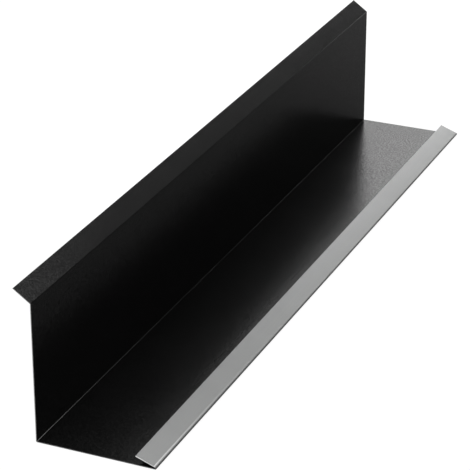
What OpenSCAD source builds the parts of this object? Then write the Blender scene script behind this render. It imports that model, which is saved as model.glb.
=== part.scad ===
// Wall abutment flashing: one strip of coated steel sheet folded along its whole length.
// Seen from the end, a sloping lip runs down into an upright wall leg, the wall leg turns into a
// level base leg, and the base leg's free side is folded back over itself as an open hem.
// The length runs along Y, and the base leg lies on the plane Z = 0.

/* [Profile] */
// Length of the flashing
length = 1000; // [200:10:3000]
// Height of the wall leg, from the underside of the base leg to the fold of the lip
wall_height = 166; // [60:1:400]
// Width of the base leg, from the back of the wall leg to the outside of the hem
base_width = 143; // [70:1:400]
// Width of the lip on its front face
lip_width = 25; // [8:0.5:60]
// Width of the hem, from the outside of its fold to its free edge
hem_width = 26; // [8:0.5:50]

/* [Folds] */
// Slope of the lip above level
lip_slope = 35; // [10:1:70]
// Opening angle between the hem and the base leg
hem_opening = 20; // [8:1:45]
// Inside radius of every fold
bend_radius = 0.6; // [0.3:0.1:3]

/* [Sheet] */
// Thickness of the steel with its coats
sheet = 1.0; // [0.4:0.05:1.5]

/* [Hidden] */

// Turns of the three folds, from flat sheet
corner_turn = 90;
lip_turn = 90 - lip_slope;
hem_turn = 180 - hem_opening;

// Radius on the outside of every fold
outer_radius = bend_radius + sheet;

// Flat stretches left between the folds
base_flat = base_width - 2 * outer_radius;
wall_flat = wall_height - outer_radius - bend_radius * tan(lip_turn / 2);
lip_flat = lip_width - outer_radius * tan(lip_turn / 2);
hem_flat = hem_width - outer_radius * cos(hem_opening);

// How far the lip reaches behind the wall leg, and the middle of the section's width
lip_reach = lip_width * cos(lip_slope) + sheet * sin(lip_slope) - sheet;
section_middle = (base_width - lip_reach) / 2;

$fn = 96;

// Far enough to cut right through a fold
reach = 4 * outer_radius;

// Sheet curled anticlockwise round the origin, from straight below it through less than half a turn
module curl(turn) {
    intersection() {
        difference() {
            circle(outer_radius);
            circle(bend_radius);
        }
        translate([0, -reach / 2])
            square(reach);
        rotate(turn)
            translate([-reach, -reach / 2])
                square(reach);
    }
}

// Block inside the sheet across the joint of a flat and a fold, so that rounding never parts the two
module key() {
    translate([-sheet / 4, sheet / 4])
        square(sheet / 2);
}

// Flat sheet along +X with its underside on the X axis, and what is joined to its end
module flat(run) {
    square([run, sheet]);
    translate([run, 0])
        children();
}

// Fold towards the upper face, and what is joined to its end
module fold_up(turn) {
    key();
    translate([0, outer_radius]) {
        curl(turn);
        rotate(turn)
            translate([0, -outer_radius]) {
                key();
                children();
            }
    }
}

// Fold towards the underside, and what is joined to its end
module fold_down(turn) {
    key();
    translate([0, -bend_radius]) {
        mirror([0, 1])
            curl(turn);
        rotate(-turn)
            translate([0, bend_radius]) {
                key();
                children();
            }
    }
}

// Base leg with its open hem
module base_leg() {
    translate([outer_radius, 0])
        flat(base_flat)
            fold_up(hem_turn)
                flat(hem_flat);
}

// Wall leg with its lip, folded up out of the near end of the base leg
module wall_leg() {
    translate([outer_radius, 0])
        mirror([1, 0])
            fold_up(corner_turn)
                flat(wall_flat)
                    fold_down(lip_turn)
                        flat(lip_flat);
}

// The whole folded strip
module flashing() {
    color([0.13, 0.13, 0.14])
        rotate([90, 0, 0])
            linear_extrude(length, center = true)
                translate([-section_middle, 0]) {
                    base_leg();
                    wall_leg();
                }
}

flashing();
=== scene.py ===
import math

import bpy
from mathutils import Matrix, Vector


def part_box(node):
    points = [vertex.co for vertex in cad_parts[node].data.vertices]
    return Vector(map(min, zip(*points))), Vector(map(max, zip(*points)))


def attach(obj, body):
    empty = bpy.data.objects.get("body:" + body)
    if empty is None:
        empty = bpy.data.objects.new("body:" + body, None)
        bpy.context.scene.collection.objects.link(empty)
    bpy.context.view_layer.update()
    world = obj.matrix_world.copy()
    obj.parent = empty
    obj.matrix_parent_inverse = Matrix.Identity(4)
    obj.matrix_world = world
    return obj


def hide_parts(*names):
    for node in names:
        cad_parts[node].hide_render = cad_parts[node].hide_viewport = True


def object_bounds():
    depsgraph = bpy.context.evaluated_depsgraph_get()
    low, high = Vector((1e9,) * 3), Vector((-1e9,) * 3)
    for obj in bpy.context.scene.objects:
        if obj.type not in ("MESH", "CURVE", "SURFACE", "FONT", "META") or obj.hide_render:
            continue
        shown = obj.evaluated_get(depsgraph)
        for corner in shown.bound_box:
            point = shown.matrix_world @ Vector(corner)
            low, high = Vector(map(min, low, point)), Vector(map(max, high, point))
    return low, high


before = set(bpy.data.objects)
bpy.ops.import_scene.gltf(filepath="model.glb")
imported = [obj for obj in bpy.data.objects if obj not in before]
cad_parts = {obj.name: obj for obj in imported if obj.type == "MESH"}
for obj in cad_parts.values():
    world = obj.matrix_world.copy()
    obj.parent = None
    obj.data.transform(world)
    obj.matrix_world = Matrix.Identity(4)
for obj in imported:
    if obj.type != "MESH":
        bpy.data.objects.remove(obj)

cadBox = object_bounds()
cadLength = cadBox[1][1] - cadBox[0][1]
mm = 0.001


class Signal:  # one output of a node; arithmetic on it adds Math nodes to its tree
    def __init__(self, graph, socket):
        self.graph = graph
        self.socket = socket

    def __add__(self, other):
        return self.graph.maths("ADD", self, other)

    def __radd__(self, other):
        return self.graph.maths("ADD", other, self)

    def __sub__(self, other):
        return self.graph.maths("SUBTRACT", self, other)

    def __rsub__(self, other):
        return self.graph.maths("SUBTRACT", other, self)

    def __mul__(self, other):
        return self.graph.maths("MULTIPLY", self, other)

    def __rmul__(self, other):
        return self.graph.maths("MULTIPLY", other, self)

    def __truediv__(self, other):
        return self.graph.maths("DIVIDE", self, other)

    def __rtruediv__(self, other):
        return self.graph.maths("DIVIDE", other, self)


class Graph:  # adds nodes to a shader or geometry tree
    def __init__(self, tree):
        self.tree = tree

    def add(self, kind, settings=None, sockets=None, out=0):
        node = self.tree.nodes.new(kind)
        for name, value in (settings or {}).items():
            if name == "items":
                for _ in range(value - len(node.index_switch_items)):
                    node.index_switch_items.new()
            elif name == "stops":
                ramp = node.color_ramp
                while len(ramp.elements) < len(value):
                    ramp.elements.new(0.5)
                for stop, (place, tone) in zip(ramp.elements, value):
                    stop.position = place
                    stop.color = (tone, tone, tone, 1)
            else:
                setattr(node, name, value)
        for name, value in (sockets or {}).items():
            if isinstance(value, Signal):
                self.tree.links.new(value.socket, node.inputs[name])
            else:
                node.inputs[name].default_value = value
        return Signal(self, node.outputs[out])

    def maths(self, operation, first, second=0.0):
        return self.add("ShaderNodeMath", {"operation": operation}, {0: first, 1: second})

    def point(self, across, along, up):
        return self.add("ShaderNodeCombineXYZ", None, {0: across, 1: along, 2: up})

    def noise(self, size, detail, length=None, out=0):  # spots of a size in millimetres on the unrolled strip
        place = self.add("ShaderNodeUVMap", {"uv_map": "strip"})
        stretch = size / (length or size)
        spots = self.add("ShaderNodeMapping", None, {"Vector": place, "Scale": (1, stretch, 1)})
        return self.add("ShaderNodeTexNoise", None, {"Vector": spots, "Scale": 1 / (size * mm), "Detail": detail}, out)

    def solidNoise(self, size, detail):  # the same in the sheet's own space, for the edges
        place = self.add("ShaderNodeTexCoord", None, None, "Object")
        return self.add("ShaderNodeTexNoise", None, {"Vector": place, "Scale": 1 / (size * mm), "Detail": detail})

    def crease(self, line):  # a line along a fold: its place, its width, and its strength along the length
        place = self.add("ShaderNodeUVMap", {"uv_map": "strip"})
        girth = self.add("ShaderNodeSeparateXYZ", None, {0: place})
        ahead = self.add("ShaderNodeSeparateXYZ", None, {0: place}, 1)
        off = self.maths("ABSOLUTE", girth - line["place"] * mm) / (line["width"] * mm)
        inside = self.add(
            "ShaderNodeMapRange",
            {"interpolation_type": "SMOOTHSTEP"},
            {0: off, 1: 0.4, 2: 1.0, 3: 1.0, 4: 0.0},
        )
        nearEnd = line["nearEnd"] * self.maths("EXPONENT", ahead / (-line["fade"] * mm))
        farEnd = line["farEnd"] * self.maths("EXPONENT", (ahead - cadLength) / (line["fade"] * mm))
        return inside * (line["steady"] + nearEnd + farEnd)

    def capture(self, geometry, value):  # keeps a value on a curve's points while the curve is swept
        node = self.tree.nodes.new("GeometryNodeCaptureAttribute")
        node.capture_items.new("FLOAT", "Value")
        self.tree.links.new(geometry.socket, node.inputs["Geometry"])
        self.tree.links.new(value.socket, node.inputs["Value"])
        return Signal(self, node.outputs["Geometry"]), Signal(self, node.outputs["Value"])

    def paint(self, tint, tone):
        return self.add("ShaderNodeVectorMath", {"operation": "SCALE"}, {0: tint, "Scale": tone})

    def bump(self, height):
        return self.add("ShaderNodeBump", None, {"Height": height, "Distance": 1.0})

    def tilted(self, normal, size, tilt):  # each grain of a size leans its own way
        lean = self.noise(size, 1, None, 1)
        centred = self.add("ShaderNodeVectorMath", {"operation": "SUBTRACT"}, {0: lean, 1: (0.5, 0.5, 0.5)})
        scaled = self.add("ShaderNodeVectorMath", {"operation": "SCALE"}, {0: centred, "Scale": tilt})
        leant = self.add("ShaderNodeVectorMath", {"operation": "ADD"}, {0: normal, 1: scaled})
        return self.add("ShaderNodeVectorMath", {"operation": "NORMALIZE"}, {0: leant})


# The folded sheet. Lengths are in millimetres and angles in degrees.
sheetLook = {
    "lipWidth": 25,
    "lipSlope": 35,
    "hemWidth": 26,
    "hemOpening": 20,
    "bendRadius": 0.6,
    "thickness": 1.0,
    "foldSteps": 12,
    "rowLength": 10,
    "edgeRounding": 0.09,
}


def foldedSheetTree():
    tree = bpy.data.node_groups.new("foldedSheet", "GeometryNodeTree")
    sizes = {
        "Length": 1.0,
        "Wall Height": 0.16,
        "Base Width": 0.14,
        "Lip Width": 0.025,
        "Lip Slope": 0.6,
        "Hem Width": 0.026,
        "Hem Opening": 0.35,
        "Bend Radius": 0.001,
        "Thickness": 0.001,
        "Left Edge": 0.0,
    }
    for name, usual in sizes.items():
        socket = tree.interface.new_socket(name, in_out="INPUT", socket_type="NodeSocketFloat")
        socket.default_value = usual
    for name, usual in {"Fold Steps": 8, "Rows": 10}.items():
        socket = tree.interface.new_socket(name, in_out="INPUT", socket_type="NodeSocketInt")
        socket.default_value = usual
    tree.interface.new_socket("Coat", in_out="INPUT", socket_type="NodeSocketMaterial")
    tree.interface.new_socket("Geometry", in_out="OUTPUT", socket_type="NodeSocketGeometry")

    graph = Graph(tree)
    given = tree.nodes.new("NodeGroupInput")
    size = {socket.name: Signal(graph, socket) for socket in given.outputs if socket.name}
    half = size["Thickness"] / 2
    outer = size["Bend Radius"] + size["Thickness"]
    middle = size["Bend Radius"] + half

    # Corners of the section's middle line, from the lip's edge round to the hem's edge
    slope = size["Lip Slope"]
    opening = size["Hem Opening"]
    lipCos = graph.maths("COSINE", slope)
    lipSin = graph.maths("SINE", slope)
    lipTan = (1 - lipSin) / lipCos
    hemCos = graph.maths("COSINE", opening)
    hemSin = graph.maths("SINE", opening)
    hemReach = middle * (1 + hemCos) / hemSin
    lipRun = size["Lip Width"] - half * lipTan
    hemRun = size["Hem Width"] - outer * hemCos + hemReach
    lipFold = (half, size["Wall Height"] + half * lipTan)
    lipEdge = (lipFold[0] - lipRun * lipCos, lipFold[1] + lipRun * lipSin)
    corner = (half, half)
    hemFold = (size["Base Width"] - outer + hemReach, half)
    hemEdge = (hemFold[0] - hemRun * hemCos, hemFold[1] + hemRun * hemSin)
    corners = [lipEdge, lipFold, corner, hemFold, hemEdge]

    index = graph.add("GeometryNodeInputIndex")
    places = {0: index}
    for number, (across, up) in enumerate(corners):
        places[number + 1] = graph.point(across, 0 - up, 0)  # the sweep turns this axis over
    chosen = graph.add("GeometryNodeIndexSwitch", {"data_type": "VECTOR", "items": len(corners)}, places)
    start = graph.add("GeometryNodeMeshLine", None, {"Count": len(corners)})
    bent = graph.add("GeometryNodeSetPosition", None, {"Geometry": start, "Position": chosen})
    line = graph.add("GeometryNodeMeshToCurve", None, {"Mesh": bent})
    section = graph.add(
        "GeometryNodeFilletCurve",
        {"mode": "POLY"},
        {"Curve": line, "Count": size["Fold Steps"], "Radius": middle},
    )

    # The section is swept along Y, then moved so that its left edge is where the frame has it
    path = graph.add(
        "GeometryNodeCurvePrimitiveLine",
        None,
        {"Start": graph.point(0, size["Length"] / -2, 0), "End": graph.point(0, size["Length"] / 2, 0)},
    )
    rows = graph.add("GeometryNodeResampleCurve", None, {"Curve": path, "Count": size["Rows"] + 1})
    around = graph.capture(section, graph.add("GeometryNodeSplineParameter", None, None, "Length"))
    ahead = graph.capture(rows, graph.add("GeometryNodeSplineParameter", None, None, "Length"))
    swept = graph.add("GeometryNodeCurveToMesh", None, {"Curve": ahead[0], "Profile Curve": around[0]})
    unrolled = graph.add(
        "GeometryNodeStoreNamedAttribute",
        {"data_type": "FLOAT2", "domain": "CORNER"},
        {"Geometry": swept, "Name": "strip", "Value": graph.point(around[1], ahead[1], 0)},
    )
    placed = graph.add(
        "GeometryNodeTransform",
        None,
        {"Geometry": unrolled, "Translation": graph.point(size["Left Edge"], 0, 0)},
    )
    real = graph.add("GeometryNodeRealizeInstances", None, {"Geometry": placed})
    coated = graph.add("GeometryNodeSetMaterial", None, {"Geometry": real, "Material": size["Coat"]})
    result = tree.nodes.new("NodeGroupOutput")
    tree.links.new(coated.socket, result.inputs[0])
    return tree


def foldedSheet(materials):
    low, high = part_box("flashing")
    slope = math.radians(sheetLook["lipSlope"])
    thickness = sheetLook["thickness"] * mm
    lipWidth = sheetLook["lipWidth"] * mm
    lipReach = lipWidth * math.cos(slope) + thickness * (math.sin(slope) - 1)
    lipRise = lipWidth * math.sin(slope) + thickness * (1 - math.sin(slope)) / math.cos(slope)
    length = high.y - low.y
    values = {
        "Length": length,
        "Wall Height": high.z - low.z - lipRise,
        "Base Width": high.x - low.x - lipReach,
        "Lip Width": lipWidth,
        "Lip Slope": slope,
        "Hem Width": sheetLook["hemWidth"] * mm,
        "Hem Opening": math.radians(sheetLook["hemOpening"]),
        "Bend Radius": sheetLook["bendRadius"] * mm,
        "Thickness": thickness,
        "Left Edge": low.x + lipReach,
        "Fold Steps": sheetLook["foldSteps"],
        "Rows": round(length / (sheetLook["rowLength"] * mm)),
        "Coat": materials[0],
    }
    tree = foldedSheetTree()
    blank = bpy.data.objects.new("sheetBlank", bpy.data.meshes.new("sheetBlank"))
    bpy.context.scene.collection.objects.link(blank)
    maker = blank.modifiers.new("fold", "NODES")
    maker.node_group = tree
    for socket in tree.interface.items_tree:
        if socket.in_out == "INPUT":
            maker[socket.identifier] = values[socket.name]
    depsgraph = bpy.context.evaluated_depsgraph_get()
    mesh = bpy.data.meshes.new_from_object(blank.evaluated_get(depsgraph), depsgraph=depsgraph)
    blank.modifiers.remove(maker)
    bpy.data.objects.remove(blank)

    sheet = bpy.data.objects.new("foldedSheet", mesh)
    bpy.context.scene.collection.objects.link(sheet)
    mesh.materials.clear()
    for material in materials:
        mesh.materials.append(material)
    mesh.shade_smooth()
    wall = sheet.modifiers.new("thickness", "SOLIDIFY")
    wall.thickness = thickness
    wall.offset = 0
    wall.use_even_offset = True
    wall.material_offset = 1
    wall.material_offset_rim = 2
    rounding = sheet.modifiers.new("edges", "BEVEL")
    rounding.width = sheetLook["edgeRounding"] * mm
    rounding.segments = 2
    rounding.limit_method = "ANGLE"
    rounding.angle_limit = math.radians(60)
    flats = sheet.modifiers.new("flats", "WEIGHTED_NORMAL")
    flats.mode = "FACE_AREA"
    flats.weight = 90
    return sheet


def newMaterial(name):
    material = bpy.data.materials.new(name)
    material.use_nodes = True
    material.node_tree.nodes.clear()
    return material, Graph(material.node_tree)


def finishMaterial(graph, surface):
    output = graph.tree.nodes.new("ShaderNodeOutputMaterial")
    graph.tree.links.new(surface.socket, output.inputs["Surface"])


# The black weather coat: a satin paint with a fine grain, whose tops shine more than its hollows. Sizes are in
# millimetres. Painted highlights: a lighter tone along the inner corner, most at the near end, and along the lip's
# fold at the far end.
weatherLook = {
    "tone": 0.002,
    "toneSpread": 0.0005,
    "tint": (0.995, 1.005, 1.0),
    "roughness": 0.25,
    "roughnessSpread": 0.05,
    "refractionTops": 1.48,
    "refractionHollows": 1.28,
    "grainSize": 2.1,
    "grainContrast": 4.0,
    "grainTilt": 0.12,
    "mottleSize": 3.2,
    "mottleTilt": 0.08,
    "cloudSize": 45,
    # painted highlights along the inner corner and the lip's fold, fading along the length
    "cornerHighlight": {"place": 190.15, "width": 0.65, "steady": 0.012, "nearEnd": 0.37, "farEnd": -0.012, "fade": 88},
    "cornerDull": {"place": 190.15, "width": 0.9, "steady": 0.1, "nearEnd": 0.0, "farEnd": 0.85, "fade": 400},
    "lipHighlight": {"place": 24.7, "width": 0.7, "steady": 0.0, "nearEnd": 0.0, "farEnd": 0.11, "fade": 200},
}


def weatherCoat():
    material, graph = newMaterial("weatherCoat")
    look = weatherLook
    grain = graph.noise(look["grainSize"], 1)
    mottle = graph.noise(look["mottleSize"], 2)
    cloud = graph.noise(look["cloudSize"], 3)
    # painted highlights: a lighter tone in the folds that stands in for light caught in the bends
    paintedHighlights = graph.crease(look["cornerHighlight"]) + graph.crease(look["lipHighlight"])
    tone = look["tone"] + look["toneSpread"] * (mottle + cloud - 1) + paintedHighlights
    roughness = look["roughness"] + look["roughnessSpread"] * (mottle + cloud - 1)
    facing = graph.add("ShaderNodeNewGeometry", None, None, "Normal")
    normal = graph.tilted(graph.tilted(facing, look["mottleSize"], look["mottleTilt"]), look["grainSize"], look["grainTilt"])
    paints = []
    for refraction in (look["refractionHollows"], look["refractionTops"]):
        sockets = {
            "Base Color": graph.paint(look["tint"], tone),
            "Roughness": roughness,
            "IOR": refraction,
            "Normal": normal,
        }
        paints.append(graph.add("ShaderNodeBsdfPrincipled", None, sockets))
    height = graph.add("ShaderNodeClamp", None, {0: (grain - 0.5) * look["grainContrast"] + 0.5})
    gloss = height * (1 - graph.crease(look["cornerDull"]))
    finishMaterial(graph, graph.add("ShaderNodeMixShader", None, {0: gloss, 1: paints[0], 2: paints[1]}))
    return material


# The thin grey coat on the back: smooth, with faint streaks along the strip from the coating line, a painted highlight
# beside the hem's fold, strongest at the near end, and painted shade along the fold's outer bend, a little less dark
# at the far end
backLook = {
    "tone": 0.38,
    "toneSpread": 0.024,
    "roughness": 0.22,
    "roughnessSpread": 0.03,
    "refraction": 1.45,
    "tint": (0.995, 1.005, 1.0),
    "peelSize": 1.6,
    "peelDepth": 0.003,
    "cloudSize": 30,
    "streakWidth": 1.5,
    "streakLength": 240,
    # painted highlight beside the hem's fold, and painted shade along its outer bend
    "hemFoldHighlight": {"place": 335.45, "width": 1.1, "steady": 0.0, "nearEnd": 0.45, "farEnd": 0.0, "fade": 96},
    "hemFoldShade": {"place": 333.0, "width": 1.5, "steady": -0.19, "nearEnd": 0.0, "farEnd": 0.05, "fade": 300},
}


def backCoat():
    material, graph = newMaterial("backCoat")
    look = backLook
    peel = graph.noise(look["peelSize"], 2)
    cloud = graph.noise(look["cloudSize"], 3)
    streak = graph.noise(look["streakWidth"], 2, look["streakLength"])
    # painted highlight and painted shade along the hem's fold
    foldLightAndShade = graph.crease(look["hemFoldHighlight"]) + graph.crease(look["hemFoldShade"])
    tone = look["tone"] + look["toneSpread"] * (cloud + streak - 1) + foldLightAndShade
    roughness = look["roughness"] + look["roughnessSpread"] * (cloud + peel - 1)
    surface = graph.add(
        "ShaderNodeBsdfPrincipled",
        None,
        {
            "Base Color": graph.paint(look["tint"], tone),
            "Roughness": roughness,
            "IOR": look["refraction"],
            "Normal": graph.bump((look["peelDepth"] * mm) * peel),
        },
    )
    finishMaterial(graph, surface)
    return material


# The bare edge that the shears left: zinc and steel, torn in short grains, much brighter along the hem
edgeLook = {
    "tone": 0.22,
    "toneSpread": 0.1,
    "hemTone": 0.73,
    "hemPlace": 333.9,
    "metal": 0.6,
    "roughness": 0.34,
    "roughnessSpread": 0.16,
    "tint": (1.0, 1.0, 1.0),
    "tearSize": 0.12,
    "tearDepth": 0.01,
    "patchSize": 1.8,
}


def cutEdge():
    material, graph = newMaterial("cutEdge")
    look = edgeLook
    tear = graph.solidNoise(look["tearSize"], 2)
    patch = graph.solidNoise(look["patchSize"], 2)
    place = graph.add("ShaderNodeUVMap", {"uv_map": "strip"})
    girth = graph.add("ShaderNodeSeparateXYZ", None, {0: place})
    hem = graph.maths("GREATER_THAN", girth, look["hemPlace"] * mm)
    tone = look["tone"] + look["hemTone"] * hem + look["toneSpread"] * (tear + patch - 1)
    roughness = look["roughness"] + look["roughnessSpread"] * (tear + patch - 1)
    surface = graph.add(
        "ShaderNodeBsdfPrincipled",
        None,
        {
            "Base Color": graph.paint(look["tint"], tone),
            "Metallic": look["metal"],
            "Roughness": roughness,
            "Normal": graph.bump((look["tearDepth"] * mm) * tear),
        },
    )
    finishMaterial(graph, surface)
    return material


# The photograph's view: the camera's place in millimetres, its aim in degrees, its focal length in picture widths
viewLook = {
    "place": (938.3, -2254.9, 1189.0),
    "turn": -23.602,
    "dip": 25.164,
    "focal": 2164.9 / 470,
}


def photoCamera():
    data = bpy.data.cameras.new("photoCamera")
    data.sensor_width = 36
    data.lens = viewLook["focal"] * data.sensor_width
    data.clip_end = 100
    camera = bpy.data.objects.new("photoCamera", data)
    bpy.context.scene.collection.objects.link(camera)
    turn = math.radians(viewLook["turn"])
    dip = math.radians(viewLook["dip"])
    aim = Vector((math.sin(turn) * math.cos(dip), math.cos(turn) * math.cos(dip), -math.sin(dip)))
    camera.location = Vector(viewLook["place"]) * mm
    camera.rotation_euler = aim.to_track_quat("-Z", "Y").to_euler()
    bpy.context.scene.camera = camera


# The studio. A softbox has its middle, the point it faces, its width and height in metres, and its level,
# where 1 is white.
studioLook = {
    "backSoftbox": ((-0.75, 2.0, 1.0), (-0.75, 0, 1.0), 1.5, 1.1, 2.65),
    "lowSoftbox": ((-0.15, 2.0, 0.32), (-0.15, 0, 0.32), 0.7, 0.56, 1.1),
    "topSoftbox": ((0, 1.0, 2.2), (0, 1.0, 0), 4.0, 2.0, 1.6),
    "keySoftbox": ((-1.7, -1.6, 1.5), (0, -0.2, 0.1), 1.4, 1.2, 4.3),
    "leftSoftbox": ((-2.0, 2.0, 1.2), (0, 0.2, 0.1), 1.6, 1.5, 5.2),
    "rightSoftbox": ((1.4, 0.8, 2.1), (0, 0.2, 0.1), 1.4, 1.8, 1.6),
    "hemSoftbox": ((-0.09, 2.4, 1.12), (-0.09, 0.2, 0.1), 0.36, 0.65, 4.1),
    "frontSoftbox": ((-0.7, -3.0, 0.9), (0, -0.5, 0.1), 2.6, 1.6, 4.4),
}

# What the camera, mirrors and other rays see of the floor and the world, along the strip's length in metres
groundLook = {
    "size": 60,
    "tone": 0.08,
    "whiteShare": 0.95,
    "mirroredFront": 0.9,
    "mirroredBeside": 0.02,
    "mirroredBeyond": 0.12,
    "front": -0.5,
    "back": 0.5,
    "far": 0.95,
    "skyFront": 0.15,
    "skyBack": 0.06,
}


def softbox(name, middle, facing, width, height, level):
    data = bpy.data.lights.new(name, "AREA")
    data.shape = "RECTANGLE"
    data.size = width
    data.size_y = height
    data.energy = math.pi * width * height * level
    lamp = bpy.data.objects.new(name, data)
    bpy.context.scene.collection.objects.link(lamp)
    lamp.location = middle
    lamp.rotation_euler = (Vector(facing) - Vector(middle)).to_track_quat("-Z", "Y").to_euler()
    lamp.visible_camera = False


def shownWhite(graph, camera, mirrored, otherwise):  # a level for each kind of ray
    toCamera = graph.add("ShaderNodeLightPath", None, None, "Is Camera Ray")
    toMirror = graph.add("ShaderNodeLightPath", None, None, "Is Glossy Ray")
    toGlass = graph.add("ShaderNodeLightPath", None, None, "Is Transmission Ray")
    mirror = toMirror + toGlass
    return toCamera * camera + mirror * mirrored + (1 - toCamera) * (1 - mirror) * otherwise


def studioWorld():
    world = bpy.data.worlds.new("studio")
    bpy.context.scene.world = world
    world.use_nodes = True
    world.node_tree.nodes.clear()
    graph = Graph(world.node_tree)
    look = groundLook
    aim = graph.add("ShaderNodeTexCoord", None, None, "Generated")
    behind = graph.add("ShaderNodeSeparateXYZ", None, {0: aim}, 1)  # -1 before the strip, 1 beyond it
    soft = {"interpolation_type": "SMOOTHSTEP"}
    sky = graph.add("ShaderNodeMapRange", soft, {0: behind, 1: -0.4, 2: 0.5, 3: look["skyFront"], 4: look["skyBack"]})
    mirrored = graph.add("ShaderNodeMapRange", soft, {0: behind, 1: -0.4, 2: 0.2, 3: 1.0, 4: look["skyBack"]})
    light = graph.add("ShaderNodeBackground", None, {"Strength": shownWhite(graph, 1, mirrored, sky)})
    output = graph.tree.nodes.new("ShaderNodeOutputWorld")
    graph.tree.links.new(light.socket, output.inputs["Surface"])


def studioFloor():
    material, graph = newMaterial("studioFloor")
    look = groundLook
    front, back, far = look["front"], look["back"], look["far"]
    beside, beyond = look["mirroredBeside"], look["mirroredBeyond"]
    place = graph.add("ShaderNodeTexCoord", None, None, "Object")
    ahead = graph.add("ShaderNodeSeparateXYZ", None, {0: place}, 1)
    near = graph.add("ShaderNodeMapRange", None, {0: ahead, 1: front - 0.02, 2: front, 3: look["mirroredFront"], 4: beside})
    rise = graph.add("ShaderNodeMapRange", None, {0: ahead, 1: back, 2: far, 3: 0.0, 4: beyond - beside})
    level = shownWhite(graph, look["whiteShare"], near + rise, 0)
    shine = graph.add("ShaderNodeEmission", None, {"Strength": level})
    tone = look["tone"]
    ground = graph.add("ShaderNodeBsdfDiffuse", None, {"Color": (tone, tone, tone, 1)})
    finishMaterial(graph, graph.add("ShaderNodeAddShader", None, {0: shine, 1: ground}))
    half = look["size"] / 2
    mesh = bpy.data.meshes.new("studioFloor")
    mesh.from_pydata([(-half, -half, 0), (half, -half, 0), (half, half, 0), (-half, half, 0)], [], [(0, 1, 2, 3)])
    mesh.materials.append(material)
    floor = bpy.data.objects.new("studioFloor", mesh)
    bpy.context.scene.collection.objects.link(floor)


photoCamera()
for boxName, boxLook in studioLook.items():
    softbox(boxName, *boxLook)
bpy.data.objects["frontSoftbox"].visible_glossy = False  # it lights the near end without greying the black coat
studioWorld()
studioFloor()
print("camera, lamps and floor set")
sheet = foldedSheet([weatherCoat(), backCoat(), cutEdge()])
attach(sheet, "root")
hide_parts("flashing")
print("sheet folded")

bpy.context.scene.view_settings.view_transform = "Standard"
